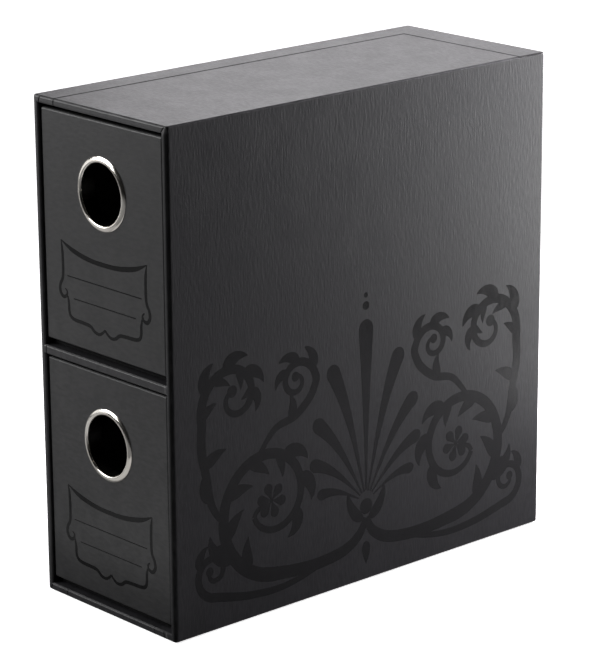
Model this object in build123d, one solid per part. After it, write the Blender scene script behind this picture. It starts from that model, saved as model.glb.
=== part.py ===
# Trading card drawer box: a tall, narrow case of greyboard covered in black grained paper,
# with two full-depth drawers, one above the other. Each drawer is a paper-lined board tray
# with a covered face board glued on its front, and a nickel finger ring set through both.
# Millimetres. Origin in the middle of the underside, +Z up, the drawers open towards -Y.
import os

from build123d import *

os.makedirs("parts", exist_ok=True)

# ---- driving dimensions ----
# Case
case_width = 81.0
case_depth = 202.0
case_height = 205.0
case_board = 2.5            # greyboard of the five walls
shelf_board = 3.2           # greyboard of the shelf between the drawers
paper = 0.3                 # covering and lining papers, pasted down
base_paper = 0.3            # last sheet, pasted on the underside
base_margin = 4.0           # bare rim round the underside sheet
case_edge_radius = 0.9      # covering paper round the case's edges
upright_edge_radius = 1.5   # the same at its four upright edges, where the board is pressed round
side_turn_over = 13.0       # covering turned from the sides onto top and underside
rear_turn_over = 15.0       # covering turned round the rear edges
mouth_turn_in = 15.0        # covering turned into the compartments
seam_gap = 0.2              # butt joint between two sheets
shelf_drop = 0.25           # shelf, below the middle of the space that it divides

# Drawers
drawer_side_clearance = 0.7
drawer_floor_clearance = 0.3
drawer_rear_clearance = 1.1
tray_board = 2.0
tray_edge_radius = 0.6
rim_turn_in_margin = 0.65   # edge of the tray covering turned down inside, above the finger hole
rim_below_face = 3.0        # tray rim, below the face board's upper edge
face_board = 2.5
face_edge_radius = 0.8
face_recess = 1.0           # face board, behind the case's front plane
face_lift = 3.0             # face board's lower edge, above the compartment floor
face_top_gap = 0.95         # face board's upper edge, below the lower compartment's ceiling

# Finger rings
ring_bore = 24.5
ring_flange = 2.5           # width of the front bead, on the radius
ring_wall = 0.5             # sheet metal of the barrel
ring_bead = 0.9             # front bead, proud of the face
ring_bead_start = 0.3       # where the bead rises out of the bore, proud of the face
ring_drop = 28.5            # ring centre, below the face board's upper edge
ring_hole_clearance = 0.1   # barrel in the boards' hole, on the radius
washer_width = 1.45         # on the radius
washer_thickness = 0.7
washer_clearance = 0.05
curl_reach = 1.1            # barrel end curled outwards over the washer
curl_thickness = 0.4

# ---- worked out from the values above ----
half_width = case_width / 2
half_depth = case_depth / 2
case_wall = case_board + 2 * paper
shelf = shelf_board + 2 * paper
bay_half_width = half_width - case_wall
bay_back = half_depth - case_wall
bays_floor = base_paper + case_wall
bays_ceiling = case_height - case_wall
lower_bay_height = (bays_ceiling - bays_floor - shelf) / 2 - shelf_drop
shelf_underside = bays_floor + lower_bay_height
bays = {
    "lower": (bays_floor, shelf_underside),
    "upper": (shelf_underside + shelf, bays_ceiling),
}

tray_wall = tray_board + 2 * paper
face_thickness = face_board + 2 * paper
drawer_half_width = bay_half_width - drawer_side_clearance
face_top = lower_bay_height - face_top_gap      # this and the rim are above a bay's floor
tray_rim = face_top - rim_below_face
face_front = -half_depth + face_recess
tray_front = face_front + face_thickness
tray_back = bay_back - drawer_rear_clearance
ring_hole_radius = ring_bore / 2 + ring_wall + ring_hole_clearance
rim_turn_in = ring_drop - rim_below_face - ring_hole_radius - rim_turn_in_margin

overrun = 5.0               # how far a cutting block runs past the piece
touching = 1e-4             # two places nearer than this are the same


def block(x0, x1, y0, y1, z0, z1):
    """A box from its lowest and highest corners."""
    middle = Pos((x0 + x1) / 2, (y0 + y1) / 2, (z0 + z1) / 2)
    return middle * Box(x1 - x0, y1 - y0, z1 - z0)


def save(shape, name):
    """Write one sub-part, as one solid, under its node name."""
    solids = shape.solids()
    shape = solids[0] if len(solids) == 1 else Compound(children=solids)
    shape.label = name
    export_step(shape, f"parts/{name}.step")


# ---- case ----
def bay(level, grow, front=-half_depth - overrun):
    """The space of one compartment, grown by a paper's thickness on every wall."""
    floor, ceiling = bays[level]
    return block(
        -bay_half_width - grow, bay_half_width + grow,
        front, bay_back + grow,
        floor - grow, ceiling + grow,
    )


def case_body(inset):
    """The case with both compartments open at the front; inset takes the papers off."""
    radius = case_edge_radius - inset
    front = -half_depth + inset
    body = block(
        -half_width + inset, half_width - inset,
        front, half_depth - inset,
        base_paper + inset, case_height - inset,
    )
    upright = body.edges().filter_by(Axis.Z)
    body = fillet(upright, upright_edge_radius - inset)
    rims = body.edges().group_by(Axis.Z)
    body = fillet(rims[0] + rims[-1], radius)
    for level in bays:
        body -= bay(level, inset)
    mouth_x = bay_half_width + inset + touching
    mouth_bottom = bays_floor - inset - touching
    mouth_top = bays_ceiling + inset + touching
    mouth = [
        edge for edge in body.edges()
        if abs(edge.center().Y - front) < touching
        and abs(edge.center().X) < mouth_x
        and mouth_bottom < edge.center().Z < mouth_top
    ]
    return fillet(mouth, radius)


def save_case_boards():
    """Five greyboard walls and the shelf, butted and glued."""
    core = case_body(paper)
    board_x = half_width - paper - case_board
    board_y = half_depth - paper - case_board
    bottom_top = base_paper + paper + case_board
    top_bottom = case_height - paper - case_board
    far_x = half_width + overrun
    far_y = half_depth + overrun
    far_z = case_height + overrun
    shelf_bottom = shelf_underside + paper
    places = {
        "case_left_board": block(-far_x, -board_x, -far_y, far_y, 0, far_z),
        "case_right_board": block(board_x, far_x, -far_y, far_y, 0, far_z),
        "case_bottom_board": block(-board_x, board_x, -far_y, far_y, 0, bottom_top),
        "case_top_board": block(-board_x, board_x, -far_y, far_y, top_bottom, far_z),
        "case_back_board": block(-board_x, board_x, board_y, far_y, bottom_top, top_bottom),
        "shelf_board": block(
            -board_x, board_x, -far_y, board_y, shelf_bottom, shelf_bottom + shelf_board
        ),
    }
    for name, place in places.items():
        save(core & place, name)


def save_case_papers():
    """Covering sheets outside and round the front edges, linings further in."""
    papers = case_body(0) - case_body(paper)
    turn_in_end = -half_depth + mouth_turn_in
    linings = {}
    for level in bays:
        linings[level] = papers & bay(level, paper, turn_in_end + seam_gap)
        papers -= bay(level, paper, turn_in_end)

    far_x = half_width + overrun
    far_y = half_depth + overrun
    far_z = case_height + overrun
    left_seam = -half_width + side_turn_over
    right_seam = half_width - side_turn_over
    rear_seam = half_depth - rear_turn_over
    back_seam = half_width - rear_turn_over
    under_papers = base_paper + paper

    # strip of paper round the shelf's front edge, between the two side walls
    shelf_strip = block(
        -bay_half_width, bay_half_width, -far_y, turn_in_end,
        shelf_underside, shelf_underside + shelf,
    )
    # underside sheet: bottom board's front edge, its turn-in and the middle of the underside
    base_sheet = block(
        left_seam + seam_gap, right_seam - seam_gap, -far_y, rear_seam - seam_gap,
        0, bays_floor,
    )
    # left and back sheet: left side, back, and what it turns onto top, underside and front
    rear_column = block(
        back_seam, far_x, rear_seam - seam_gap, far_y,
        under_papers, case_height - paper,
    )
    left_back_sheet = (
        block(-far_x, left_seam, -far_y, far_y, 0, far_z)
        + block(left_seam, far_x, rear_seam, far_y, 0, far_z)
        - rear_column
    )
    # top and right sheet: the rest, turned round the rear edge and under the right side
    seams = (
        block(-far_x, left_seam + seam_gap, -far_y, far_y, 0, far_z)
        + block(left_seam, far_x, rear_seam - seam_gap, far_y, 0, far_z)
        - block(
            back_seam + seam_gap, far_x, rear_seam - seam_gap - overrun, far_y,
            under_papers + seam_gap, case_height - paper - seam_gap,
        )
    )
    base_seam = block(left_seam, right_seam, -far_y, rear_seam, 0, bays_floor)

    save(papers & shelf_strip, "shelf_edge_cover")
    papers -= shelf_strip
    save(papers & left_back_sheet, "left_back_cover")
    save(papers - seams - base_seam, "top_right_cover")
    underside = block(
        -half_width + base_margin, half_width - base_margin,
        -half_depth + base_margin, half_depth - base_margin,
        0, base_paper,
    )
    save((papers & base_sheet) + underside, "base_cover")
    for level, lining in linings.items():
        save(lining, f"{level}_compartment_lining")


# ---- drawers ----
def ring_place(floor):
    """Height of the finger ring's centre."""
    return floor + face_top - ring_drop


def finger_hole(floor):
    """The round hole for the ring's barrel, through the face board and the tray's front."""
    length = face_thickness + tray_wall + 2 * overrun
    middle = (face_front + tray_front + tray_wall) / 2
    return Pos(0, middle, ring_place(floor)) * Rot(90, 0, 0) * Cylinder(ring_hole_radius, length)


def tray_body(floor, inset):
    """The open tray; inset takes the papers off."""
    bottom = floor + drawer_floor_clearance
    rim = floor + tray_rim
    body = block(
        -drawer_half_width + inset, drawer_half_width - inset,
        tray_front + inset, tray_back - inset,
        bottom + inset, rim - inset,
    )
    body -= block(
        -drawer_half_width + tray_wall - inset, drawer_half_width - tray_wall + inset,
        tray_front + tray_wall - inset, tray_back - tray_wall + inset,
        bottom + tray_wall - inset, rim + overrun,
    )
    rim_edges = body.edges().group_by(Axis.Z)[-1]
    corners = body.edges().filter_by(Axis.Z).sort_by(lambda edge: -abs(edge.center().X))[:4]
    return fillet(list(rim_edges) + list(corners), tray_edge_radius - inset)


def save_tray(level, floor):
    """Five boards, the covering folded over the rim and the lining below it."""
    bottom = floor + drawer_floor_clearance
    rim = floor + tray_rim
    hole = finger_hole(floor)
    core = tray_body(floor, paper) - hole
    side_x = drawer_half_width - paper - tray_board
    front_y = tray_front + paper + tray_board
    back_y = tray_back - paper - tray_board
    floor_top = bottom + paper + tray_board
    far_x = half_width
    far_y = half_depth
    places = {
        "left": block(-far_x, -side_x, -far_y, far_y, floor_top, rim),
        "right": block(side_x, far_x, -far_y, far_y, floor_top, rim),
        "front": block(-side_x, side_x, -far_y, front_y, floor_top, rim),
        "back": block(-side_x, side_x, back_y, far_y, floor_top, rim),
        "floor": block(-far_x, far_x, -far_y, far_y, bottom, floor_top),
    }
    for wall, place in places.items():
        save(core & place, f"{level}_tray_{wall}_board")

    papers = tray_body(floor, 0) - tray_body(floor, paper) - hole
    inside = block(
        -drawer_half_width + tray_wall - paper, drawer_half_width - tray_wall + paper,
        tray_front + tray_wall - paper, tray_back - tray_wall + paper,
        bottom + tray_wall - paper, rim - rim_turn_in,
    )
    lining = block(
        -drawer_half_width + tray_wall - paper, drawer_half_width - tray_wall + paper,
        tray_front + tray_wall - paper, tray_back - tray_wall + paper,
        bottom + tray_wall - paper, rim - rim_turn_in - seam_gap,
    )
    save(papers - inside, f"{level}_tray_cover")
    save(papers & lining, f"{level}_tray_lining")


def face_body(floor, inset):
    """The face board; inset takes the paper off."""
    body = block(
        -drawer_half_width + inset, drawer_half_width - inset,
        face_front + inset, tray_front - inset,
        floor + face_lift + inset, floor + face_top - inset,
    )
    return fillet(body.edges(), face_edge_radius - inset)


def save_face(level, floor):
    """The board that closes the drawer's front, and the grained paper folded round it."""
    hole = finger_hole(floor)
    board = face_body(floor, paper)
    save(board - hole, f"{level}_face_board")
    save(face_body(floor, 0) - board - hole, f"{level}_face_cover")


def turned(profile, floor):
    """Turn a closed profile of (radius, depth) lines round the finger hole's axis."""
    face = make_face(profile)
    ring = revolve(face, Axis.Y, 360)
    return Pos(0, 0, ring_place(floor)) * ring


def save_ring(level, floor):
    """Front ring with its bead and barrel, and the washer that the barrel is curled over."""
    bore = ring_bore / 2
    barrel = bore + ring_wall
    outer = bore + ring_flange
    bead_middle = (bore + outer) / 2
    inner_face = tray_front + tray_wall
    washer_back = inner_face + washer_thickness
    barrel_end = washer_back + curl_thickness
    bead_start = face_front - ring_bead_start
    profile = [
        Line((bore, barrel_end), (bore, bead_start)),
        ThreePointArc(
            (bore, bead_start), (bead_middle, face_front - ring_bead), (outer, face_front)
        ),
        Polyline(
            (outer, face_front), (barrel, face_front), (barrel, washer_back),
            (barrel + curl_reach, washer_back), (barrel + curl_reach, barrel_end),
            (bore, barrel_end),
        ),
    ]
    save(turned(profile, floor), f"{level}_ring_front")
    washer_bore = barrel + washer_clearance
    washer_rim = washer_bore + washer_width
    rounding = washer_thickness / 2
    washer = [
        Polyline(
            (washer_rim - rounding, washer_back), (washer_bore, washer_back),
            (washer_bore, inner_face), (washer_rim, inner_face), (washer_rim, washer_back - rounding),
        ),
        Line((washer_rim, washer_back - rounding), (washer_rim - rounding, washer_back)),
    ]
    save(turned(washer, floor), f"{level}_ring_back")


save_case_boards()
save_case_papers()
for drawer, (drawer_floor, _) in bays.items():
    save_tray(drawer, drawer_floor)
    save_face(drawer, drawer_floor)
    save_ring(drawer, drawer_floor)
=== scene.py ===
# Trading card drawer box: a black paper-covered case with two drawers, one above the other.
# The pieces come as the box is put together: boards, linings and tray papers, covering sheets, the
# print on the right side, drawer faces with their labels, and finger rings. The studio comes last.
# Lengths are in metres unless a comment says millimetres, and the drawers face -Y.
import math

import bmesh
import bpy
from mathutils import Matrix, Vector


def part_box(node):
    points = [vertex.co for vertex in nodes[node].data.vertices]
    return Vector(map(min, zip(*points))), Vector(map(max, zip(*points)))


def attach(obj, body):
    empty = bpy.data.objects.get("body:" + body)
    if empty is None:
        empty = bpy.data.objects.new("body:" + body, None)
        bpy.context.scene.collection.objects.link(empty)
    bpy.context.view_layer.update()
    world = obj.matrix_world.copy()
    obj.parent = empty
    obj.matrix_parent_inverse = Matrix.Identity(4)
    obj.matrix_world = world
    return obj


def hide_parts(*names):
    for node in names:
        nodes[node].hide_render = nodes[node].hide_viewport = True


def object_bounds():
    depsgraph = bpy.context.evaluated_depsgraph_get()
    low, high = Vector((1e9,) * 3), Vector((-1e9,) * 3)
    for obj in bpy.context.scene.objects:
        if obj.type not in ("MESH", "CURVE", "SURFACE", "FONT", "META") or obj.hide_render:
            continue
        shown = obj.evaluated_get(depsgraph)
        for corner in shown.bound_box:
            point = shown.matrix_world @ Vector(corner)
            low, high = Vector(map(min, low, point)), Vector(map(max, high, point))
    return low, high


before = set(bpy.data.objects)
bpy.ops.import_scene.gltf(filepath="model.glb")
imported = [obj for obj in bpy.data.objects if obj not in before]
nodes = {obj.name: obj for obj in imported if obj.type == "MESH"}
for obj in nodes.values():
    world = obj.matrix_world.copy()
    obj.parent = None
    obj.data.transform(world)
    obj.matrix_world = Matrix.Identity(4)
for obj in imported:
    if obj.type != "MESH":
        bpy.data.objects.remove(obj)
cad_low, cad_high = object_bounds()

# ---------------------------------------------------------------------------------------------
# Greyboard walls, shelf, trays and face boards
# Grey pulp board, cut square and glued edge to edge. Paper covers all of it, so it hardly shows.
# ---------------------------------------------------------------------------------------------
mm = 0.001


def socket(tree, name, kind, way="INPUT", value=None):
    """A named input or output on a node group."""
    made = tree.interface.new_socket(name, in_out=way, socket_type=kind)
    if value is not None:
        made.default_value = value
    return made


def node(tree, kind, at, **settings):
    """A node with its settings, and its inputs by name or number in `inputs`."""
    made = tree.nodes.new(kind)
    made.location = at
    inputs = settings.pop("inputs", {})
    for key, value in settings.items():
        setattr(made, key, value)
    for key, value in inputs.items():
        made.inputs[key].default_value = value
    return made


def pulp_flecks_group():
    """Fibres and darker flecks in pulp board, as a tone from 0 to 1 and a height."""
    tree = bpy.data.node_groups.new("pulp_flecks", "ShaderNodeTree")
    socket(tree, "Vector", "NodeSocketVector")
    socket(tree, "Fleck Scale", "NodeSocketFloat", value=900.0)
    socket(tree, "Tone", "NodeSocketFloat", "OUTPUT")
    socket(tree, "Height", "NodeSocketFloat", "OUTPUT")
    start = node(tree, "NodeGroupInput", (-600, 0))
    flecks = node(tree, "ShaderNodeTexNoise", (-400, 100), inputs={"Detail": 4.0, "Roughness": 0.7})
    clouds = node(tree, "ShaderNodeTexNoise", (-400, -150), inputs={"Scale": 60.0, "Detail": 2.0})
    both = node(tree, "ShaderNodeMath", (-200, 0), operation="MULTIPLY_ADD", inputs={1: 0.6})
    end = node(tree, "NodeGroupOutput", (0, 0))
    link = tree.links.new
    link(start.outputs["Vector"], flecks.inputs["Vector"])
    link(start.outputs["Vector"], clouds.inputs["Vector"])
    link(start.outputs["Fleck Scale"], flecks.inputs["Scale"])
    link(flecks.outputs["Fac"], both.inputs[0])
    link(clouds.outputs["Fac"], both.inputs[2])
    link(both.outputs[0], end.inputs["Tone"])
    link(flecks.outputs["Fac"], end.inputs["Height"])
    return tree


def new_material(name):
    """A material with nothing in it but its output and a Principled BSDF."""
    made = bpy.data.materials.new(name)
    made.use_nodes = True
    tree = made.node_tree
    tree.nodes.clear()
    shader = node(tree, "ShaderNodeBsdfPrincipled", (300, 0))
    end = node(tree, "ShaderNodeOutputMaterial", (600, 0))
    tree.links.new(shader.outputs[0], end.inputs[0])
    return made, tree, shader


def two_tones(tree, at, low, high, dark, light):
    """A colour that goes from dark, where its factor is low, to light, where it is high."""
    made = node(tree, "ShaderNodeValToRGB", at)
    first, last = made.color_ramp.elements
    first.position = low
    first.color = (*dark, 1)
    last.position = high
    last.color = (*light, 1)
    return made


def greyboard_material():
    """Dull grey-brown pulp board."""
    made, tree, shader = new_material("grey_pulp_board")
    where = node(tree, "ShaderNodeTexCoord", (-700, 0))
    flecks = node(tree, "ShaderNodeGroup", (-500, 0), node_tree=pulp_flecks_group())
    tones = two_tones(tree, (-250, 100), 0.35, 0.75, (0.16, 0.145, 0.125), (0.37, 0.345, 0.31))
    bump = node(tree, "ShaderNodeBump", (0, -200), inputs={"Strength": 0.4, "Distance": 0.05 * mm})
    link = tree.links.new
    link(where.outputs["Object"], flecks.inputs["Vector"])
    link(flecks.outputs["Tone"], tones.inputs[0])
    link(flecks.outputs["Height"], bump.inputs["Height"])
    link(tones.outputs[0], shader.inputs["Base Color"])
    link(bump.outputs[0], shader.inputs["Normal"])
    shader.inputs["Roughness"].default_value = 0.92
    return made


def dress(names, material):
    """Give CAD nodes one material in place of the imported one."""
    for name in names:
        mesh = nodes[name].data
        mesh.materials.clear()
        mesh.materials.append(material)


dress([name for name in nodes if name.endswith("_board")], greyboard_material())

# ---------------------------------------------------------------------------------------------
# Linings and tray papers
# Plain black matt papers, 0.3 mm, pasted inside the compartments, and round and inside the trays.
# ---------------------------------------------------------------------------------------------


def paper_grain_group():
    """Fine grain, soft streaks and slow cloudiness of an embossed covering paper.

    Streaks says how closely the streaks lie along each axis, per metre.
    """
    tree = bpy.data.node_groups.new("paper_grain", "ShaderNodeTree")
    socket(tree, "Vector", "NodeSocketVector")
    socket(tree, "Streaks", "NodeSocketVector", value=(700.0, 700.0, 120.0))
    socket(tree, "Grain Scale", "NodeSocketFloat", value=2600.0)
    socket(tree, "Cloud Scale", "NodeSocketFloat", value=80.0)
    socket(tree, "Tone", "NodeSocketFloat", "OUTPUT")
    socket(tree, "Height", "NodeSocketFloat", "OUTPUT")
    start = node(tree, "NodeGroupInput", (-900, 0))
    stretch = node(tree, "ShaderNodeVectorMath", (-700, 150), operation="MULTIPLY")
    streaks = node(tree, "ShaderNodeTexNoise", (-500, 200), inputs={"Scale": 1.0, "Detail": 2.0})
    grain = node(tree, "ShaderNodeTexNoise", (-500, -50), inputs={"Detail": 2.0, "Roughness": 0.55})
    clouds = node(tree, "ShaderNodeTexNoise", (-500, -300), inputs={"Detail": 2.0})
    tone = node(tree, "ShaderNodeMath", (-250, 100), operation="MULTIPLY_ADD", inputs={1: 0.64})
    tone_clouds = node(tree, "ShaderNodeMath", (-400, -300), operation="MULTIPLY", inputs={1: 0.36})
    height = node(tree, "ShaderNodeMath", (-250, -100), operation="MULTIPLY_ADD", inputs={1: 2.6})
    end = node(tree, "NodeGroupOutput", (0, 0))
    link = tree.links.new
    link(start.outputs["Vector"], stretch.inputs[0])
    link(start.outputs["Streaks"], stretch.inputs[1])
    link(stretch.outputs[0], streaks.inputs["Vector"])
    link(start.outputs["Vector"], grain.inputs["Vector"])
    link(start.outputs["Vector"], clouds.inputs["Vector"])
    link(start.outputs["Grain Scale"], grain.inputs["Scale"])
    link(start.outputs["Cloud Scale"], clouds.inputs["Scale"])
    link(clouds.outputs["Fac"], tone_clouds.inputs[0])
    link(streaks.outputs["Fac"], tone.inputs[0])
    link(tone_clouds.outputs[0], tone.inputs[2])
    link(streaks.outputs["Fac"], height.inputs[0])
    link(grain.outputs["Fac"], height.inputs[2])
    link(tone.outputs[0], end.inputs["Tone"])
    link(height.outputs[0], end.inputs["Height"])
    return tree


paper_grain = paper_grain_group()


def ramp(tree, at, low, high, dark, light):
    """A value that goes from dark, where its source is low, to light, where it is high."""
    return node(tree, "ShaderNodeMapRange", at, inputs={1: low, 2: high, 3: dark, 4: light})


def paper_material(name, tones, roughness, streaks, relief, specular, cloud_scale=80.0):
    """A plain paper; its tones and roughness go from its deepest streaks to its palest."""
    made, tree, shader = new_material(name)
    where = node(tree, "ShaderNodeTexCoord", (-900, 0))
    grain = node(
        tree, "ShaderNodeGroup", (-700, 0), node_tree=paper_grain,
        inputs={"Streaks": streaks, "Cloud Scale": cloud_scale},
    )
    tone = two_tones(tree, (-350, 200), 0.35, 0.68, *tones)
    gloss = ramp(tree, (-350, -50), 0.35, 0.68, *roughness)
    bump = node(tree, "ShaderNodeBump", (0, -250), inputs={"Distance": relief})
    link = tree.links.new
    link(where.outputs["Object"], grain.inputs["Vector"])
    link(grain.outputs["Tone"], tone.inputs[0])
    link(grain.outputs["Tone"], gloss.inputs[0])
    link(grain.outputs["Height"], bump.inputs["Height"])
    link(tone.outputs[0], shader.inputs["Base Color"])
    link(gloss.outputs[0], shader.inputs["Roughness"])
    link(bump.outputs[0], shader.inputs["Normal"])
    shader.inputs["Specular IOR Level"].default_value = specular
    return made


compartment_paper = paper_material(
    "black_lining_paper", ((0.0035, 0.0035, 0.004), (0.0075, 0.0074, 0.0078)), (0.91, 0.79),
    (500.0, 90.0, 500.0), 0.01 * mm, specular=0.06,
)
tray_paper = paper_material(
    "black_tray_paper", ((0.005, 0.005, 0.0053), (0.011, 0.0108, 0.0113)), (0.84, 0.72),
    (700.0, 160.0, 500.0), 0.03 * mm, specular=0.09,
)
tray_lining_paper = paper_material(
    "black_tray_lining_paper", ((0.016, 0.016, 0.0165), (0.028, 0.0277, 0.0285)), (0.78, 0.66),
    (500.0, 120.0, 700.0), 0.02 * mm, specular=0.3,
)
for drawer in ("upper", "lower"):
    dress([f"{drawer}_compartment_lining"], compartment_paper)
    dress([f"{drawer}_tray_cover"], tray_paper)
    dress([f"{drawer}_tray_lining"], tray_lining_paper)

# ---------------------------------------------------------------------------------------------
# Covering sheets of the case
# Black grained paper, 0.3 mm, pasted on and turned round every edge. One sheet covers the left
# side and back and laps onto the top; the other covers the top and the right side.
# ---------------------------------------------------------------------------------------------


def segment_mask_group():
    """How near a surface is to the line from Start to End: Strength on it, 0 past Half Width."""
    tree = bpy.data.node_groups.new("segment_mask", "ShaderNodeTree")
    socket(tree, "Vector", "NodeSocketVector")
    socket(tree, "Start", "NodeSocketVector")
    socket(tree, "End", "NodeSocketVector")
    socket(tree, "Half Width", "NodeSocketFloat", value=0.0005)
    socket(tree, "Strength", "NodeSocketFloat", value=1.0)
    socket(tree, "Mask", "NodeSocketFloat", "OUTPUT")
    start = node(tree, "NodeGroupInput", (-1200, 0))
    away = node(tree, "ShaderNodeVectorMath", (-1000, 150), operation="SUBTRACT")
    along = node(tree, "ShaderNodeVectorMath", (-1000, -50), operation="SUBTRACT")
    reach = node(tree, "ShaderNodeVectorMath", (-800, 150), operation="DOT_PRODUCT")
    length = node(tree, "ShaderNodeVectorMath", (-800, -50), operation="DOT_PRODUCT")
    share = node(tree, "ShaderNodeMath", (-600, 50), operation="DIVIDE", use_clamp=True)
    nearest = node(tree, "ShaderNodeVectorMath", (-400, 0), operation="SCALE")
    rest = node(tree, "ShaderNodeVectorMath", (-200, 100), operation="SUBTRACT")
    distance = node(tree, "ShaderNodeVectorMath", (0, 100), operation="LENGTH")
    mask = node(
        tree, "ShaderNodeMapRange", (200, 0), interpolation_type="SMOOTHSTEP", inputs={4: 0.0},
    )
    end = node(tree, "NodeGroupOutput", (400, 0))
    link = tree.links.new
    link(start.outputs["Vector"], away.inputs[0])
    link(start.outputs["Start"], away.inputs[1])
    link(start.outputs["End"], along.inputs[0])
    link(start.outputs["Start"], along.inputs[1])
    link(away.outputs[0], reach.inputs[0])
    link(along.outputs[0], reach.inputs[1])
    link(along.outputs[0], length.inputs[0])
    link(along.outputs[0], length.inputs[1])
    link(reach.outputs["Value"], share.inputs[0])
    link(length.outputs["Value"], share.inputs[1])
    link(along.outputs[0], nearest.inputs[0])
    link(share.outputs[0], nearest.inputs["Scale"])
    link(away.outputs[0], rest.inputs[0])
    link(nearest.outputs[0], rest.inputs[1])
    link(rest.outputs[0], distance.inputs[0])
    link(distance.outputs["Value"], mask.inputs[0])
    link(start.outputs["Half Width"], mask.inputs[2])
    link(start.outputs["Strength"], mask.inputs[3])
    link(mask.outputs[0], end.inputs["Mask"])
    return tree


def edge_wear_and_highlight_group():
    """Where a box-shaped piece's edges are worn and carry a painted highlight, from its middle and
    half size; broken up by noise.
    """
    tree = bpy.data.node_groups.new("edge_wear_and_highlight", "ShaderNodeTree")
    socket(tree, "Vector", "NodeSocketVector")
    socket(tree, "Middle", "NodeSocketVector")
    socket(tree, "Half Size", "NodeSocketVector")
    socket(tree, "Width", "NodeSocketFloat", value=0.001)
    socket(tree, "Mask", "NodeSocketFloat", "OUTPUT")
    start = node(tree, "NodeGroupInput", (-1400, 0))
    centred = node(tree, "ShaderNodeVectorMath", (-1200, 100), operation="SUBTRACT")
    outward = node(tree, "ShaderNodeVectorMath", (-1000, 100), operation="ABSOLUTE")
    depth = node(tree, "ShaderNodeVectorMath", (-800, 100), operation="SUBTRACT")
    parts = node(tree, "ShaderNodeSeparateXYZ", (-600, 100))
    least = node(tree, "ShaderNodeMath", (-400, 200), operation="MINIMUM")
    most = node(tree, "ShaderNodeMath", (-400, 0), operation="MAXIMUM")
    lesser = node(tree, "ShaderNodeMath", (-200, 0), operation="MINIMUM")
    middle_one = node(tree, "ShaderNodeMath", (0, 100), operation="MAXIMUM")
    margin = node(tree, "ShaderNodeMath", (0, -100), operation="MULTIPLY", inputs={1: -1.0})
    near = node(
        tree, "ShaderNodeMapRange", (200, 100), interpolation_type="SMOOTHSTEP", inputs={2: 0.0}
    )
    patches = node(tree, "ShaderNodeTexNoise", (-200, -300), inputs={"Scale": 160.0, "Detail": 4.0})
    broken = ramp(tree, (200, -300), 0.42, 0.68, 0.15, 1.0)
    mask = node(tree, "ShaderNodeMath", (400, 0), operation="MULTIPLY")
    end = node(tree, "NodeGroupOutput", (600, 0))
    link = tree.links.new
    link(start.outputs["Vector"], centred.inputs[0])
    link(start.outputs["Middle"], centred.inputs[1])
    link(centred.outputs[0], outward.inputs[0])
    link(outward.outputs[0], depth.inputs[0])
    link(start.outputs["Half Size"], depth.inputs[1])
    link(depth.outputs[0], parts.inputs[0])
    link(parts.outputs["X"], least.inputs[0])
    link(parts.outputs["Y"], least.inputs[1])
    link(parts.outputs["X"], most.inputs[0])
    link(parts.outputs["Y"], most.inputs[1])
    link(most.outputs[0], lesser.inputs[0])
    link(parts.outputs["Z"], lesser.inputs[1])
    link(least.outputs[0], middle_one.inputs[0])
    link(lesser.outputs[0], middle_one.inputs[1])
    link(start.outputs["Width"], margin.inputs[0])
    link(middle_one.outputs[0], near.inputs[0])
    link(margin.outputs[0], near.inputs[1])
    link(start.outputs["Vector"], patches.inputs["Vector"])
    link(patches.outputs["Fac"], broken.inputs[0])
    link(near.outputs[0], mask.inputs[0])
    link(broken.outputs[0], mask.inputs[1])
    link(mask.outputs[0], end.inputs["Mask"])
    return tree


segment_mask = segment_mask_group()
edge_wear_and_highlight = edge_wear_and_highlight_group()


def greatest(tree, at, sources):
    """The greatest of several masks."""
    best = sources[0]
    for step, source in enumerate(sources[1:]):
        pick = node(tree, "ShaderNodeMath", (at[0] + 40 * step, at[1]), operation="MAXIMUM")
        tree.links.new(best, pick.inputs[0])
        tree.links.new(source, pick.inputs[1])
        best = pick.outputs[0]
    return best


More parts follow.
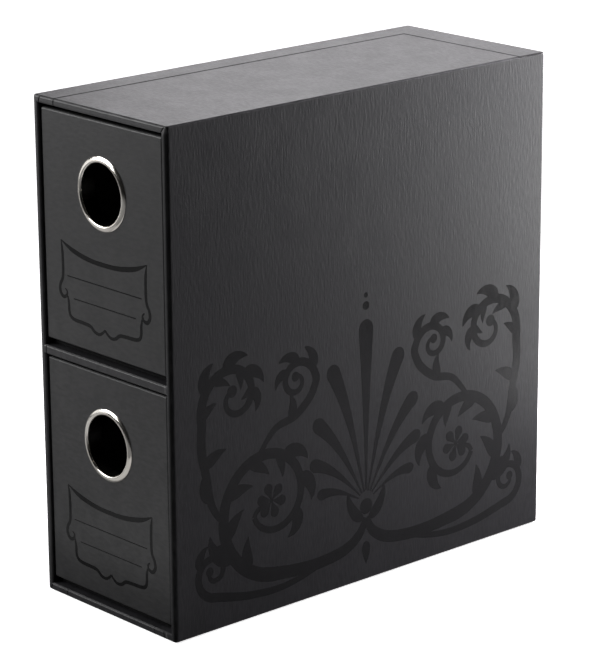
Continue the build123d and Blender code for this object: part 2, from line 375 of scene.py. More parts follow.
def covering_material(
    name, streaks, tones, painted_shade_lines, wear_and_highlights, box_middle=(0.0, 0.0, 0.0), box_half=(1.0, 1.0, 1.0),
):
    """Grained black paper with painted shade along seams, folds and edges, and paler on edges and
    folded corners where it is worn and where a highlight is painted.

    The painted shade lines and the wear and highlight lines are (start, end, half width, strength)
    lines. The box is the piece's own where its edges are worn and lit paler; left as it is, it is
    too large to have an edge on the piece.
    """
    made, tree, shader = new_material(name)
    dark, light, wear_and_highlight_colour = tones
    link = tree.links.new
    where = node(tree, "ShaderNodeTexCoord", (-1500, 0))
    grain = node(
        tree, "ShaderNodeGroup", (-1100, 300), node_tree=paper_grain, inputs={"Streaks": streaks},
    )
    link(where.outputs["Object"], grain.inputs["Vector"])
    edges = node(
        tree, "ShaderNodeGroup", (-1100, 0), node_tree=edge_wear_and_highlight,
        inputs={"Middle": box_middle, "Half Size": box_half, "Width": 1.1 * mm},
    )
    link(where.outputs["Object"], edges.inputs["Vector"])

    def line_masks(lines, height):
        """A mask for each line, its nodes stacked downward from a height."""
        masks = []
        for place, (begin, finish, half_width, strength) in enumerate(lines):
            line = node(
                tree, "ShaderNodeGroup", (-1100, height - 220 * place), node_tree=segment_mask,
                inputs={
                    "Start": begin, "End": finish, "Half Width": half_width, "Strength": strength,
                },
            )
            link(where.outputs["Object"], line.inputs["Vector"])
            masks.append(line.outputs["Mask"])
        return masks

    painted_shade = greatest(tree, (-800, -300), line_masks(painted_shade_lines, -300))
    wear_and_highlight = greatest(tree, (-800, -700), [edges.outputs["Mask"]] + line_masks(wear_and_highlights, -3200))

    # Colour: the paper's tones, paler where edges are worn and a highlight is painted, black where
    # shade is painted
    paper_tone = two_tones(tree, (-800, 300), 0.40, 0.60, dark, light)
    link(grain.outputs["Tone"], paper_tone.inputs[0])
    wear_and_highlight_tone = node(tree, "ShaderNodeMix", (-450, 200), data_type="RGBA")
    wear_and_highlight_tone.inputs[7].default_value = (*wear_and_highlight_colour, 1)
    link(wear_and_highlight, wear_and_highlight_tone.inputs[0])
    link(paper_tone.outputs[0], wear_and_highlight_tone.inputs[6])
    shaded_tone = node(tree, "ShaderNodeMix", (-200, 200), data_type="RGBA")
    shaded_tone.inputs[7].default_value = (0.001, 0.001, 0.001, 1)
    link(painted_shade, shaded_tone.inputs[0])
    link(wear_and_highlight_tone.outputs[2], shaded_tone.inputs[6])
    link(shaded_tone.outputs[2], shader.inputs["Base Color"])
    # Painted shade: a black metal gives back no light at all, so these lines stay dark whatever
    # lights them
    link(painted_shade, shader.inputs["Metallic"])

    # Gloss: smoother on the pale streaks, duller where shade is painted
    roughness = ramp(tree, (-450, -50), 0.35, 0.65, 0.40, 0.33)
    link(grain.outputs["Tone"], roughness.inputs[0])
    duller = node(tree, "ShaderNodeMath", (-200, -50), operation="MULTIPLY_ADD", inputs={1: 0.6})
    link(painted_shade, duller.inputs[0])
    link(roughness.outputs[0], duller.inputs[2])
    link(duller.outputs[0], shader.inputs["Roughness"])

    # Relief: the grain is a fifth as high as the painted shade lines are sunk
    grain_height = node(tree, "ShaderNodeMath", (-450, -250), operation="MULTIPLY", inputs={1: 0.2})
    link(grain.outputs["Height"], grain_height.inputs[0])
    height = node(tree, "ShaderNodeMath", (-200, -250), operation="SUBTRACT")
    link(grain_height.outputs[0], height.inputs[0])
    link(painted_shade, height.inputs[1])
    bump = node(tree, "ShaderNodeBump", (50, -250), inputs={"Distance": 0.1 * mm})
    link(height.outputs[0], bump.inputs["Height"])
    link(bump.outputs[0], shader.inputs["Normal"])
    return made


def on_front(begin, finish, half_width, strength):
    """A line on the case's front from one (across, up) place to another, in millimetres."""
    (from_across, from_up), (to_across, to_up) = begin, finish
    start = (from_across * mm, cad_low[1], from_up * mm)
    end = (to_across * mm, cad_low[1], to_up * mm)
    return start, end, half_width * mm, strength


# The paper's darkest and palest tones, and the paler tone of worn edges and painted highlights
paper_black = ((0.011, 0.0108, 0.0122), (0.021, 0.0204, 0.0228), (0.10, 0.098, 0.10))
case_streaks = (450.0, 1250.0, 270.0)
# Places on the case, in millimetres
seam_across = -27.4
seam_back = 85.9
case_top = cad_high[2] / mm
case_side = cad_high[0] / mm
opening_side = 37.0
opening_top = 201.6
bottom_board_top = 3.4

seam_corner = (seam_across * mm, seam_back * mm, cad_high[2])
# Painted shade: black, unlit lines that stand for the shade in seams and folds and along edges
case_painted_shade = [
    # painted shade along the two seams between the sheets, on the top
    ((seam_across * mm, cad_low[1], cad_high[2]), seam_corner, 1.0 * mm, 0.6),
    (seam_corner, (cad_high[0], seam_back * mm, cad_high[2]), 1.0 * mm, 0.6),
    # the seam's ends on the front edges of the top and bottom boards
    on_front((seam_across, opening_top + 0.2), (seam_across, case_top), 0.5, 1.0),
    on_front((seam_across, 0.0), (seam_across, bottom_board_top), 0.5, 1.0),
    # painted shade in the folded corners: top left, top right, bottom left, bottom right
    on_front((-35.8, case_top), (-opening_side, opening_top), 0.6, 1.0),
    on_front((-opening_side, opening_top), (-37.8, 196.0), 0.4, 0.6),
    on_front((39.2, 204.6), (36.8, opening_top), 0.5, 1.0),
    on_front((-opening_side, bottom_board_top), (-38.6, 0.4), 0.5, 1.0),
    on_front((33.0, bottom_board_top), (33.8, 0.3), 0.5, 1.0),
    # painted shade on rounded edges, which damps their highlights: right, top and along the bottom
    # board
    on_front((case_side - 0.6, 0.0), (case_side - 0.6, 201.4), 2.2, 0.75),
    on_front((-38.5, 204.9), (38.5, 204.9), 0.9, 0.6),
    on_front((-opening_side, bottom_board_top), (opening_side, bottom_board_top), 0.9, 0.7),
]
# Worn edges and painted highlights: lines where the paper is paler
case_wear_and_highlights = [
    # worn folded corners with a painted highlight: top right, bottom right
    on_front((40.0, 204.6), (38.1, 201.4), 0.8, 1.0),
    on_front((38.0, 201.9), (37.7, 197.5), 0.4, 0.6),
    on_front((34.5, 3.7), (35.2, 0.3), 0.5, 1.0),
    # paler bands along the left edge and the top one
    on_front((-39.2, 1.0), (-39.2, 204.0), 1.6, 0.12),
    on_front((-38.5, 203.6), (38.5, 203.6), 1.8, 0.12),
]
case_half = [(high - low) / 2 for low, high in zip(cad_low, cad_high)]
case_paper = covering_material(
    "case_covering_paper", case_streaks, paper_black, case_painted_shade, case_wear_and_highlights,
    box_middle=(0.0, 0.0, case_half[2]), box_half=case_half,
)
dress(["left_back_cover", "base_cover"], case_paper)

shelf_foot = 100.6
shelf_top = 104.2
# Painted shade in the shelf edge's left fold and along its top edge; a worn right end with a
# painted highlight
shelf_paper = covering_material(
    "shelf_edge_paper", case_streaks, paper_black,
    painted_shade_lines=[
        on_front((-36.6, shelf_foot), (-36.6, shelf_top), 0.5, 1.0),
        on_front((-opening_side, shelf_top + 0.1), (opening_side, shelf_top + 0.1), 0.9, 0.7),
    ],
    wear_and_highlights=[on_front((36.9, shelf_foot), (36.9, shelf_top), 0.5, 0.8)],
)
dress(["shelf_edge_cover"], shelf_paper)

# ---------------------------------------------------------------------------------------------
# Printing on the right side
# A traditional scrollwork of volutes, leaves and a palmette, hot-pressed on the covering paper in
# gloss black film. The paper is pressed down by the film's thickness, so the print lies flush.
# Strokes are drawn in millimetres, as (across, up, half width) points.
# ---------------------------------------------------------------------------------------------
thinnest = 0.02


def spiral(centre, radii, angles, widths, steps):
    """A volute, its radius shrinking by a steady ratio."""
    line = []
    for step in range(steps + 1):
        share = step / steps
        radius = radii[0] * (radii[1] / radii[0]) ** share
        angle = math.radians(angles[0] + (angles[1] - angles[0]) * share)
        width = widths[0] + (widths[1] - widths[0]) * share
        line.append((
            centre[0] + radius * math.cos(angle), centre[1] + radius * math.sin(angle), width,
        ))
    return line


def smooth(points, per_span):
    """A soft line through the points."""
    line = []
    last = len(points) - 1
    for at in range(last):
        a, b, c, d = (points[min(max(at + k, 0), last)] for k in (-1, 0, 1, 2))
        for step in range(per_span):
            t = step / per_span
            line.append(tuple(
                0.5 * (2 * q + (r - p) * t + (2 * p - 5 * q + 4 * r - s) * t * t
                       + (3 * q - p - 3 * r + s) * t ** 3)
                for p, q, r, s in zip(a, b, c, d)
            ))
    line.append(points[-1])
    return line


def leaf(base, heading, length, half_width, bend, steps=14):
    """A curled leaf: pointed at its tip, widest a third of the way along."""
    across, up = base
    angle = math.radians(heading)
    line = []
    for step in range(steps + 1):
        share = step / steps
        width = half_width * math.sin(math.pi * share ** 0.62) ** 0.85 if 0 < share < 1 else 0.0
        line.append((across, up, max(width, thinnest)))
        angle += math.radians(bend) / steps
        across += math.cos(angle) * length / steps
        up += math.sin(angle) * length / steps
    return line


def dot(centre, radius, steps=12):
    """A round dot, as a stroke from its left to its right whose half width is its height."""
    line = []
    for step in range(steps + 1):
        angle = math.pi * (1 - step / steps)
        width = max(radius * math.sin(angle), thinnest)
        line.append((centre[0] + radius * math.cos(angle), centre[1], width))
    return line


def on_spiral(centre, radii, angles, angle):
    """The place on a volute's centre line at an angle."""
    share = (angle - angles[0]) / (angles[1] - angles[0])
    radius = radii[0] * (radii[1] / radii[0]) ** share
    turn = math.radians(angle)
    return centre[0] + radius * math.cos(turn), centre[1] + radius * math.sin(turn)


def lobe(base, heading, length, half_width, bend, steps=22):
    """A palmette's petal: narrow at its foot, widest near its round tip."""
    across, up = base
    angle = math.radians(heading)
    line = []
    round_from = 1 - 1.15 * half_width / length
    before = 0.0
    for step in range(steps + 1):
        share = math.sin(math.pi / 2 * step / steps)
        across += math.cos(angle) * length * (share - before)
        up += math.sin(angle) * length * (share - before)
        angle += math.radians(bend) * (share ** 2 - before ** 2)
        past = max(0.0, (share - round_from) / (1 - round_from))
        swell = 0.12 + 0.88 * (share / round_from) ** 1.5 if share < round_from else 1.0
        width = half_width * swell * math.sqrt(max(0.0, 1 - past * past))
        line.append((across, up, max(width, thinnest)))
        before = share
    return line


def half_scroll():
    """One half of the scrollwork, to the right of its middle line."""
    lines = []
    # great volute, its stem and its rosette
    big = ((51.0, 47.0), (31.5, 10.5), (-95.0, 330.0))
    stem = [
        (0.0, 27.0, 1.6), (4.0, 20.5, 2.2), (12.0, 16.0, 2.5), (25.0, 14.2, 2.6), (37.0, 14.4, 2.7),
        (*on_spiral(*big, -95.0), 2.9), (*on_spiral(*big, -80.0), 3.0),
    ]
    lines.append(smooth(stem, 8))
    lines.append(spiral(*big, (3.0, 1.2), 90))
    for petal in range(6):
        lines.append(lobe(big[0], petal * 60 + 12, 7.6, 2.3, 0, 10))
    end = on_spiral(*big, 330.0)
    lines.append(smooth([(*end, 1.2), (58.8, 44.0, 1.1), (56.0, 45.4, 0.9), (52.5, 46.6, 0.6)], 6))
    for angle, length, width, away, bend in (
        (-44, 19, 3.4, -56, 92), (112, 15, 3.0, -60, 96),
        (156, 15, 3.1, -62, 100), (206, 14, 2.9, -62, 100),
    ):
        lines.append(leaf(on_spiral(*big, angle), angle + 96 + away, length, width, bend))
    for angle, length, width in (
        (-66, 15, 2.9), (-26, 15, 2.9), (14, 14, 2.7), (56, 13, 2.5), (100, 11, 2.1),
    ):
        lines.append(leaf(on_spiral(*big, angle), angle + 96 + 40, length, width, 36))
    # upper outer volute
    upper = ((69.5, 93.0), (18.0, 3.4), (-22.0, 430.0))
    stem = [
        (*on_spiral(*big, -8.0), 1.2), (81.6, 52.0, 1.7), (84.2, 64.0, 2.0), (86.6, 76.0, 2.2),
        (*on_spiral(*upper, -22.0), 2.3), (*on_spiral(*upper, -8.0), 2.3),
    ]
    lines.append(smooth(stem, 8))
    lines.append(spiral(*upper, (2.3, 0.9), 70))
    lines.append(dot(on_spiral(*upper, 430.0), 2.5))
    for angle, length, width in ((18, 14, 2.8), (68, 14, 2.8), (118, 13, 2.6), (166, 11, 2.2)):
        lines.append(leaf(on_spiral(*upper, angle), angle + 98 - 54, length, width, 92))
    for angle, length, width in ((-18, 10, 2.0), (38, 10, 1.9), (98, 9, 1.7), (160, 7, 1.4)):
        lines.append(leaf(on_spiral(*upper, angle), angle + 98 + 42, length, width, 40))
    lines.append(leaf((81.8, 54.0), 34, 14, 2.7, 84))
    lines.append(leaf((85.2, 68.0), 132, 13, 2.6, 40))
    # lower outer volute
    low = ((81.0, 24.5), (10.8, 2.4), (-98.0, 380.0))
    stem = [
        (22.0, 14.0, 0.7), (34.0, 10.9, 1.2), (48.0, 9.2, 1.5), (64.0, 10.4, 1.7),
        (*on_spiral(*low, -98.0), 1.9), (*on_spiral(*low, -80.0), 1.9),
    ]
    lines.append(smooth(stem, 8))
    lines.append(spiral(*low, (1.9, 0.8), 50))
    lines.append(dot(on_spiral(*low, 380.0), 1.9))
    lines.append(leaf(on_spiral(*low, 20), 66, 11, 2.2, 92))
    lines.append(leaf(on_spiral(*low, 80), 120, 10, 2.0, 92))
    # inner volute, turning the other way
    top = ((37.5, 93.0), (10.6, 2.2), (188.0, -280.0))
    stem = [
        (*on_spiral(*big, 70.0), 1.0), (49.0, 76.0, 1.5), (38.5, 79.0, 1.8), (30.4, 85.0, 1.9),
        (*on_spiral(*top, 188.0), 1.9), (*on_spiral(*top, 172.0), 1.9),
    ]
    lines.append(smooth(stem, 8))
    lines.append(spiral(*top, (1.9, 0.8), 60))
    lines.append(dot(on_spiral(*top, -280.0), 2.0))
    for angle, length, width in ((158, 12, 2.4), (100, 12, 2.3), (48, 10, 2.0)):
        lines.append(leaf(on_spiral(*top, angle), angle - 98 + 54, length, width, -92))
    lines.append(leaf((41.0, 78.2), 128, 11, 2.2, -70))
    # palmette
    for heading, length, width, bend in (
        (77, 60, 3.6, -16), (62, 45, 3.3, -26), (46, 34, 2.9, -36), (29, 24, 2.4, -46),
    ):
        foot = math.radians(heading)
        base = (4.6 * math.cos(foot), 34.0 + 4.6 * math.sin(foot))
        lines.append(lobe(base, heading, length, width, bend))
    # calyx
    lines.append(leaf((1.5, 26.5), 25, 17, 2.5, 62))
    return lines


def middle_scroll():
    """What lies on the middle line: the palmette's upright petal, its knot and the drop below."""
    lines = [lobe((0, 39.0), 90, 72, 4.0, 0), leaf((0, 17), -90, 10, 2.2, 0)]
    return lines + [dot((0, 32.0), 3.4), dot((0.0, 116.6), 1.8), dot((0.0, 121.0), 1.1)]


def mirrored(strokes):
    """The same strokes on the other side of the middle line."""
    return [[(-across, up, half_width) for across, up, half_width in stroke] for stroke in strokes]


def flat_strokes_tree():
    """Strokes drawn in XY swept into thin films, as wide as their points' radii, and put in place.

    Each stroke lies one step deeper than the last, round and round the levels, so that no two that
    cross share a surface.
    """
    tree = bpy.data.node_groups.new("flat_strokes", "GeometryNodeTree")
    socket(tree, "Strokes", "NodeSocketGeometry")
    socket(tree, "Thickness", "NodeSocketFloat", value=0.00002)
    socket(tree, "Level Step", "NodeSocketFloat", value=0.000001)
    socket(tree, "Levels", "NodeSocketFloat", value=18.0)
    socket(tree, "Place", "NodeSocketVector")
    socket(tree, "Turn", "NodeSocketVector")
    socket(tree, "Material", "NodeSocketMaterial")
    socket(tree, "Film", "NodeSocketGeometry", "OUTPUT")
    start = node(tree, "NodeGroupInput", (-1400, 0))
    upright = node(tree, "GeometryNodeSetCurveNormal", (-1200, 100), mode="Z_UP")
    outline = node(
        tree, "GeometryNodeCurvePrimitiveQuadrilateral", (-1200, -150),
        inputs={"Width": 2.0, "Height": 2.0},
    )
    radius = node(tree, "GeometryNodeInputRadius", (-1200, -350))
    sweep = node(tree, "GeometryNodeCurveToMesh", (-1000, 0), inputs={"Fill Caps": True})
    order = node(tree, "GeometryNodeInputIndex", (-1600, -250))
    layer = node(tree, "ShaderNodeMath", (-1400, -250), operation="MODULO")
    sink = node(tree, "ShaderNodeMath", (-1200, -900), operation="MULTIPLY")
    keep = node(tree, "GeometryNodeCaptureAttribute", (-1350, 250), domain="CURVE")
    keep.capture_items.new("FLOAT", "Sink")
    where = node(tree, "GeometryNodeInputPosition", (-1200, -500))
    parts = node(tree, "ShaderNodeSeparateXYZ", (-1000, -500))
    side = node(tree, "ShaderNodeMath", (-800, -600), operation="SIGN")
    half = node(tree, "ShaderNodeMath", (-800, -750), operation="MULTIPLY", inputs={1: 0.5})
    level = node(tree, "ShaderNodeMath", (-600, -650), operation="MULTIPLY")
    sunk = node(tree, "ShaderNodeMath", (-500, -750), operation="SUBTRACT")
    flat = node(tree, "ShaderNodeCombineXYZ", (-600, -450))
    flatten = node(tree, "GeometryNodeSetPosition", (-400, 0))
    faceted = node(tree, "GeometryNodeSetShadeSmooth", (-300, 200), inputs={"Shade Smooth": False})
    put = node(tree, "GeometryNodeTransform", (-200, 0))
    real = node(tree, "GeometryNodeRealizeInstances", (0, 0))
    coat = node(tree, "GeometryNodeSetMaterial", (200, 0))
    end = node(tree, "NodeGroupOutput", (400, 0))
    link = tree.links.new
    link(order.outputs["Index"], layer.inputs[0])
    link(start.outputs["Levels"], layer.inputs[1])
    link(layer.outputs[0], sink.inputs[0])
    link(start.outputs["Level Step"], sink.inputs[1])
    link(start.outputs["Strokes"], keep.inputs["Geometry"])
    link(sink.outputs[0], keep.inputs["Sink"])
    link(keep.outputs["Geometry"], upright.inputs["Curve"])
    link(upright.outputs["Curve"], sweep.inputs["Curve"])
    link(outline.outputs["Curve"], sweep.inputs["Profile Curve"])
    link(radius.outputs["Radius"], sweep.inputs["Scale"])
    link(where.outputs["Position"], parts.inputs[0])
    link(parts.outputs["Z"], side.inputs[0])
    link(start.outputs["Thickness"], half.inputs[0])
    link(side.outputs[0], level.inputs[0])
    link(half.outputs[0], level.inputs[1])
    link(parts.outputs["X"], flat.inputs["X"])
    link(parts.outputs["Y"], flat.inputs["Y"])
    link(level.outputs[0], sunk.inputs[0])
    link(keep.outputs["Sink"], sunk.inputs[1])
    link(sunk.outputs[0], flat.inputs["Z"])
    link(sweep.outputs["Mesh"], flatten.inputs["Geometry"])
    link(flat.outputs[0], flatten.inputs["Position"])
    link(flatten.outputs["Geometry"], faceted.inputs["Geometry"])
    link(faceted.outputs["Geometry"], put.inputs["Geometry"])
    link(start.outputs["Place"], put.inputs["Translation"])
    link(start.outputs["Turn"], put.inputs["Rotation"])
    link(put.outputs["Geometry"], real.inputs["Geometry"])
    link(real.outputs["Geometry"], coat.inputs["Geometry"])
    link(start.outputs["Material"], coat.inputs["Material"])
    link(coat.outputs["Geometry"], end.inputs["Film"])
    return tree


def drawn_by(tree, name, lines, **values):
    """A plain mesh piece made by a tree from drawn lines of (x, y, radius) points."""
    curve = bpy.data.curves.new(name, "CURVE")
    curve.dimensions = "3D"
    for line in lines:
        spline = curve.splines.new("POLY")
        spline.points.add(len(line) - 1)
        for point, (x, y, radius) in zip(spline.points, line):
            point.co = (x * mm, y * mm, 0.0, 1.0)
            point.radius = radius * mm
    host = bpy.data.objects.new(name + "_lines", curve)
    bpy.context.scene.collection.objects.link(host)
    modifier = host.modifiers.new(name, "NODES")
    modifier.node_group = tree
    for item in tree.interface.items_tree:
        if item.in_out == "INPUT" and item.name in values:
            modifier[item.identifier] = values[item.name]
    graph = bpy.context.evaluated_depsgraph_get()
    mesh = bpy.data.meshes.new_from_object(host.evaluated_get(graph))
    mesh.name = name
    made = bpy.data.objects.new(name, mesh)
    bpy.context.scene.collection.objects.link(made)
    host.modifiers.clear()
    bpy.data.objects.remove(host)
    bpy.data.curves.remove(curve)
    return made


def print_material(name, specular):
    """Gloss black film with a faint unevenness from the paper under it."""
    return paper_material(
        name, ((0.002, 0.002, 0.0022), (0.0045, 0.0045, 0.0048)), (0.18, 0.26),
        (900.0, 900.0, 300.0), 0.01 * mm, specular, cloud_scale=60.0,
    )


def pressed_copy(name, source, plane, depth, material):
    """A sheet's mesh joined up, with its flat at x = plane pressed down by depth."""
    shape = bmesh.new()
    shape.from_mesh(nodes[source].data)
    bmesh.ops.remove_doubles(shape, verts=shape.verts, dist=1e-6)
    for vert in shape.verts:
        if vert.co.x > plane - depth:
            vert.co.x = plane - depth
    mesh = bpy.data.meshes.new(name)
    shape.to_mesh(mesh)
    shape.free()
    mesh.polygons.foreach_set("use_smooth", [True] * len(mesh.polygons))
    mesh.set_sharp_from_angle(angle=math.radians(35))
    made = bpy.data.objects.new(name, mesh)
    bpy.context.scene.collection.objects.link(made)
    weighted = made.modifiers.new("weighted", "WEIGHTED_NORMAL")
    weighted.keep_sharp = True
    weighted.weight = 100
    graph = bpy.context.evaluated_depsgraph_get()
    made.data = bpy.data.meshes.new_from_object(made.evaluated_get(graph))
    made.data.name = name
    made.modifiers.clear()
    made.data.materials.clear()
    made.data.materials.append(material)
    return made


film = 0.02 * mm
side_film = print_material("side_print_film", 0.42)
label_film = print_material("label_print_film", 0.16)
flat_strokes = flat_strokes_tree()
top_right_sheet = pressed_copy("top_right_sheet", "top_right_cover", cad_high[0], film, case_paper)
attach(top_right_sheet, "case")
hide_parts("top_right_cover")
right_half = half_scroll()
side_print = drawn_by(
    flat_strokes, "side_print", right_half + mirrored(right_half) + middle_scroll(),
    Thickness=film, Place=(cad_high[0] - film / 2, 0.0, 0.0),
    Turn=(math.pi / 2, 0.0, math.pi / 2), Material=side_film,
)
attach(side_print, "case")

# ---------------------------------------------------------------------------------------------
# Drawer faces and their printed labels
# Board folded into the same grained paper, set a millimetre behind the case's front. Under each
# finger ring an empty label frame with two ruled lines is printed in the same gloss black film.
# ---------------------------------------------------------------------------------------------
# Painted shade along each drawer face's top edge, damping its highlight
face_painted_shade = []
for drawer in ("upper", "lower"):
    (left, front, _), (right, _, top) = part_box(f"{drawer}_face_cover")
    face_painted_shade.append(((left, front, top), (right, front, top), 0.9 * mm, 0.7))
face_black = ((0.013, 0.013, 0.0137), (0.023, 0.0227, 0.0235), (0.10, 0.098, 0.10))
face_paper = covering_material(
    "drawer_face_paper", (260.0, 700.0, 700.0), face_black, face_painted_shade, wear_and_highlights=[],
)
dress(["upper_face_cover", "lower_face_cover"], face_paper)


def label_strokes(foot):
    """An empty label frame with two rules above a face's lower edge."""
    boldness = 1.3
    half = [
        smooth([
            (0, 36.7, 0.75), (6, 36.8, 0.75), (13, 37.6, 0.8), (20, 39.2, 0.72), (26.3, 41.9, 0.15),
        ], 8),
        smooth([
            (26.3, 41.9, 0.15), (25.6, 38, 0.55), (25.4, 32, 0.6), (25.7, 27, 0.58),
            (27.3, 23.9, 0.58), (27.6, 21.2, 0.62), (26.0, 19.2, 0.62), (23.8, 19.6, 0.52),
            (23.2, 21.4, 0.4), (24.4, 22.6, 0.2),
        ], 8),
        smooth([
            (22.9, 19.8, 0.35), (22.3, 17, 0.55), (22.2, 14, 0.58), (21.2, 11.8, 0.58),
            (18.5, 10.9, 0.6), (13, 10.7, 0.6), (9, 10.3, 0.58), (6.4, 8.6, 0.55), (3.6, 8.2, 0.5),
            (1.4, 9.3, 0.45), (0, 10.6, 0.4),
        ], 8),
    ]
    rules = [[(-22.8, 28.0, 0.27), (22.8, 28.0, 0.27)], [(-19.2, 19.4, 0.27), (19.2, 19.4, 0.27)]]
    outline = [[(across, up, width * boldness) for across, up, width in line] for line in half]
    drawn = outline + mirrored(outline) + rules
    return [[(across, up + foot, width) for across, up, width in line] for line in drawn]


for drawer in ("upper", "lower"):
    face_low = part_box(f"{drawer}_face_cover")[0]
    label = drawn_by(
        flat_strokes, f"{drawer}_label", label_strokes(face_low[2] / mm),
        Thickness=film, Place=(0.0, face_low[1] - film / 2, 0.0),
        Turn=(math.pi / 2, 0.0, 0.0), Material=label_film,
    )
    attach(label, f"{drawer}_drawer")

# ---------------------------------------------------------------------------------------------
# Finger rings
# Pressed steel, nickel plated: a front ring with a rolled bead round its bore, whose barrel goes
# through face and tray and is curled over a washer inside.
# ---------------------------------------------------------------------------------------------


def nickel_material():
    """Bright nickel plating, lightly scratched and dulled by fingers."""
    made, tree, shader = new_material("nickel_plating")
    where = node(tree, "ShaderNodeTexCoord", (-900, 0))
    marks = node(tree, "ShaderNodeTexNoise", (-650, 100), inputs={"Scale": 900.0, "Detail": 3.0})
    smears = node(tree, "ShaderNodeTexNoise", (-650, -150), inputs={"Scale": 120.0, "Detail": 2.0})
    both = node(tree, "ShaderNodeMath", (-400, 0), operation="MULTIPLY_ADD", inputs={1: 0.4})
    roughness = ramp(tree, (-200, 0), 0.5, 0.95, 0.09, 0.2)
    tint = two_tones(tree, (-200, 250), 0.35, 0.7, (0.76, 0.72, 0.66), (0.83, 0.80, 0.75))
    bump = node(tree, "ShaderNodeBump", (0, -250), inputs={"Strength": 0.3, "Distance": 0.01 * mm})
    link = tree.links.new
    link(where.outputs["Object"], marks.inputs["Vector"])
    link(where.outputs["Object"], smears.inputs["Vector"])
    link(marks.outputs["Fac"], both.inputs[0])
    link(smears.outputs["Fac"], both.inputs[2])
    link(both.outputs[0], roughness.inputs[0])
    link(roughness.outputs[0], shader.inputs["Roughness"])
    link(smears.outputs["Fac"], tint.inputs[0])
    link(tint.outputs[0], shader.inputs["Base Color"])
    link(marks.outputs["Fac"], bump.inputs["Height"])
    link(bump.outputs[0], shader.inputs["Normal"])
    shader.inputs["Metallic"].default_value = 1.0
    return made


def ring_tree():
    """A closed profile swept round a finger ring's bore and turned to the front."""
    tree = bpy.data.node_groups.new("turned_ring", "GeometryNodeTree")
    socket(tree, "Profile", "NodeSocketGeometry")
    socket(tree, "Bore Radius", "NodeSocketFloat", value=0.01225)
    socket(tree, "Steps Round", "NodeSocketInt", value=128)
    socket(tree, "Place", "NodeSocketVector")
    socket(tree, "Turn", "NodeSocketVector")
    socket(tree, "Material", "NodeSocketMaterial")
    socket(tree, "Ring", "NodeSocketGeometry", "OUTPUT")
    start = node(tree, "NodeGroupInput", (-1000, 0))
    round_line = node(tree, "GeometryNodeCurvePrimitiveCircle", (-800, 100))
    upright = node(tree, "GeometryNodeSetCurveNormal", (-600, 100), mode="Z_UP")
    closed = node(tree, "GeometryNodeSetSplineCyclic", (-800, -200), inputs={"Cyclic": True})
    sweep = node(tree, "GeometryNodeCurveToMesh", (-400, 0))
    soft = node(tree, "GeometryNodeSetShadeSmooth", (-200, 0))
    put = node(tree, "GeometryNodeTransform", (0, 0))
    real = node(tree, "GeometryNodeRealizeInstances", (200, 0))
    coat = node(tree, "GeometryNodeSetMaterial", (400, 0))
    end = node(tree, "NodeGroupOutput", (600, 0))
    link = tree.links.new
    link(start.outputs["Steps Round"], round_line.inputs["Resolution"])
    link(start.outputs["Bore Radius"], round_line.inputs["Radius"])
    link(round_line.outputs["Curve"], upright.inputs["Curve"])
    link(upright.outputs["Curve"], sweep.inputs["Curve"])
    link(start.outputs["Profile"], closed.inputs["Geometry"])
    link(closed.outputs["Geometry"], sweep.inputs["Profile Curve"])
    link(sweep.outputs["Mesh"], soft.inputs["Geometry"])
    link(soft.outputs["Geometry"], put.inputs["Geometry"])
    link(start.outputs["Place"], put.inputs["Translation"])
    link(start.outputs["Turn"], put.inputs["Rotation"])
    link(put.outputs["Geometry"], real.inputs["Geometry"])
    link(real.outputs["Geometry"], coat.inputs["Geometry"])
    link(start.outputs["Material"], coat.inputs["Material"])
    link(coat.outputs["Geometry"], end.inputs["Ring"])
    return tree


# The profile is measured outward from the bore and forward from the drawer face, in millimetres.
ring_front_side = smooth([
    (2.5, 0.0, 1), (2.5, 0.12, 1), (2.38, 0.28, 1), (2.05, 0.5, 1), (1.6, 0.7, 1), (1.1, 0.84, 1),
    (0.65, 0.86, 1), (0.3, 0.7, 1), (0.08, 0.4, 1), (0.0, 0.0, 1), (0.0, -0.6, 1),
], 5)
ring_barrel_and_curl = [
    (0.0, -6.3, 1), (0.05, -6.55, 1), (0.16, -6.71, 1), (0.32, -6.8, 1), (0.9, -6.8, 1),
    (1.04, -6.74, 1), (1.1, -6.6, 1), (1.1, -6.4, 1), (0.5, -6.4, 1), (0.5, 0.0, 1),
]
nickel = nickel_material()
turned_ring = ring_tree()
for drawer in ("upper", "lower"):
    dress([f"{drawer}_ring_back"], nickel)
    (_, _, ring_foot), (_, _, ring_top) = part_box(f"{drawer}_ring_front")
    face_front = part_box(f"{drawer}_face_cover")[0][1]
    ring = drawn_by(
        turned_ring, f"{drawer}_finger_ring", [ring_front_side + ring_barrel_and_curl],
        Place=(0.0, face_front, (ring_foot + ring_top) / 2), Turn=(-math.pi / 2, 0.0, 0.0),
        Material=nickel,
    )
    ring.data.set_sharp_from_angle(angle=math.radians(40))
    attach(ring, f"{drawer}_drawer")
    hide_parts(f"{drawer}_ring_front")

# ---------------------------------------------------------------------------------------------
# Studio
# A pale floor, soft lights and the camera at the photograph's viewing angle. The floor's brightly
# lit patches, which the black paper mirrors, are lights lying on it.
# ---------------------------------------------------------------------------------------------


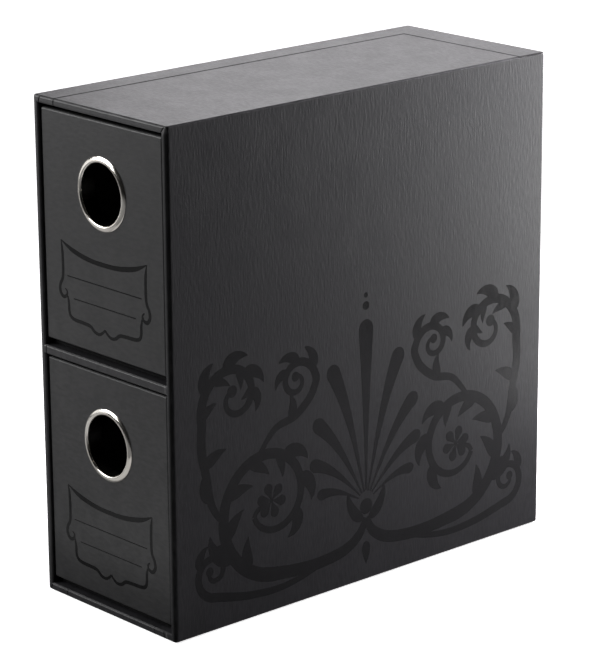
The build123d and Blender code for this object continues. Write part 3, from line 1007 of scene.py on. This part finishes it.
def floor_material():
    """Pale to the camera; the box gets back as little from it as from a far studio floor."""
    made, tree, shader = new_material("floor")
    shader.inputs["Base Color"].default_value = (0.92, 0.92, 0.92, 1)
    shader.inputs["Roughness"].default_value = 0.9
    shader.inputs["Emission Color"].default_value = (1, 1, 1, 1)
    shader.inputs["Emission Strength"].default_value = 0.85
    dull = node(tree, "ShaderNodeBsdfDiffuse", (0, -300))
    dull.inputs["Color"].default_value = (0.22, 0.22, 0.22, 1)
    path = node(tree, "ShaderNodeLightPath", (0, 300))
    pick = node(tree, "ShaderNodeMixShader", (450, -100))
    end = tree.nodes["Material Output"]
    tree.links.new(path.outputs["Is Camera Ray"], pick.inputs[0])
    tree.links.new(dull.outputs[0], pick.inputs[1])
    tree.links.new(shader.outputs[0], pick.inputs[2])
    tree.links.new(pick.outputs[0], end.inputs[0])
    return made


def floor_piece():
    """A wide pale floor just under the box."""
    reach = 8.0
    drop = -0.0002
    corners = [(-reach, -reach), (reach, -reach), (reach, reach), (-reach, reach)]
    mesh = bpy.data.meshes.new("floor")
    mesh.from_pydata([(*corner, drop) for corner in corners], [], [(0, 1, 2, 3)])
    made = bpy.data.objects.new("floor", mesh)
    bpy.context.scene.collection.objects.link(made)
    mesh.materials.append(floor_material())


def studio_world():
    """White to the camera, dim to everything else."""
    made = bpy.data.worlds.new("studio")
    made.use_nodes = True
    tree = made.node_tree
    back = tree.nodes["Background"]
    back.inputs[0].default_value = (1, 1, 1, 1)
    path = node(tree, "ShaderNodeLightPath", (-600, 200))
    strength = ramp(tree, (-300, 200), 0.0, 1.0, 0.01, 1.0)
    tree.links.new(path.outputs["Is Camera Ray"], strength.inputs[0])
    tree.links.new(strength.outputs[0], back.inputs[1])
    bpy.context.scene.world = made


def area_light(name, place, facing, size, radiance, colour=(1.0, 1.0, 1.0)):
    """A soft rectangular light at a place, turned towards another; the camera doesn't see it."""
    place = Vector(place)
    light = bpy.data.lights.new(name, "AREA")
    light.shape = "RECTANGLE"
    light.size, light.size_y = size
    light.color = colour
    light.energy = radiance * math.pi * size[0] * size[1]
    made = bpy.data.objects.new(name, light)
    made.location = place
    made.rotation_euler = (Vector(facing) - place).to_track_quat("-Z", "Y").to_euler()
    made.visible_camera = False
    bpy.context.scene.collection.objects.link(made)


def floor_glow(name, place, size, radiance):
    """A patch of floor that shines upward on the box, as a brightly lit white floor does."""
    across, deep = place
    area_light(name, (across, deep, 0.003), (across, deep, 1.0), size, radiance)


floor_piece()
studio_world()
box_middle = (0, 0, 0.1)
right_side = (0.04, 0.05, 0.12)
cool = (0.99, 0.97, 1.0)
violet = (0.96, 0.93, 1.0)
area_light("backdrop_light", (-0.771, 0.919, 0.75), box_middle, (0.8, 0.8), 2.0, cool)
area_light("upper_left_light", (-0.55, -0.62, 0.55), box_middle, (0.6, 0.6), 8.0)
area_light("left_light", (-0.70, -0.42, 0.16), box_middle, (0.5, 0.25), 1.03)
area_light("rear_right_light", (0.0818, 0.397, 0.25), right_side, (0.09, 0.18), 93.0, violet)
area_light("rear_right_low_light", (0.19, 0.36, 0.10), right_side, (0.09, 0.18), 11.0)
floor_glow("rear_glow", (0.13, 0.30), (0.10, 0.16), 3.1)
floor_glow("near_glow", (0.0, -0.19), (0.20, 0.12), 0.37)
floor_glow("front_glow", (-0.18, -0.22), (0.14, 0.14), 0.22)
floor_glow("left_glow", (-0.34, -0.25), (0.16, 0.20), 0.35)

camera_data = bpy.data.cameras.new("camera")
camera = bpy.data.objects.new("camera", camera_data)
bpy.context.scene.collection.objects.link(camera)
# Solved from the case's corners in the photograph
photo_height_pixels = 665
focal_pixels = 3035.24
camera_data.sensor_width = 36.0
camera_data.lens = focal_pixels * camera_data.sensor_width / photo_height_pixels
eye = Vector((0.88478, -0.79399, 0.45141))
forward = Vector((-0.71343166, 0.63971792, -0.28596548))
right = Vector((0.66911713, 0.74312473, -0.00692091))
up = right.cross(forward)
camera.matrix_world = Matrix.Translation(eye) @ Matrix((right, up, -forward)).transposed().to_4x4()
bpy.context.scene.camera = camera
bpy.context.scene.view_settings.view_transform = "Standard"
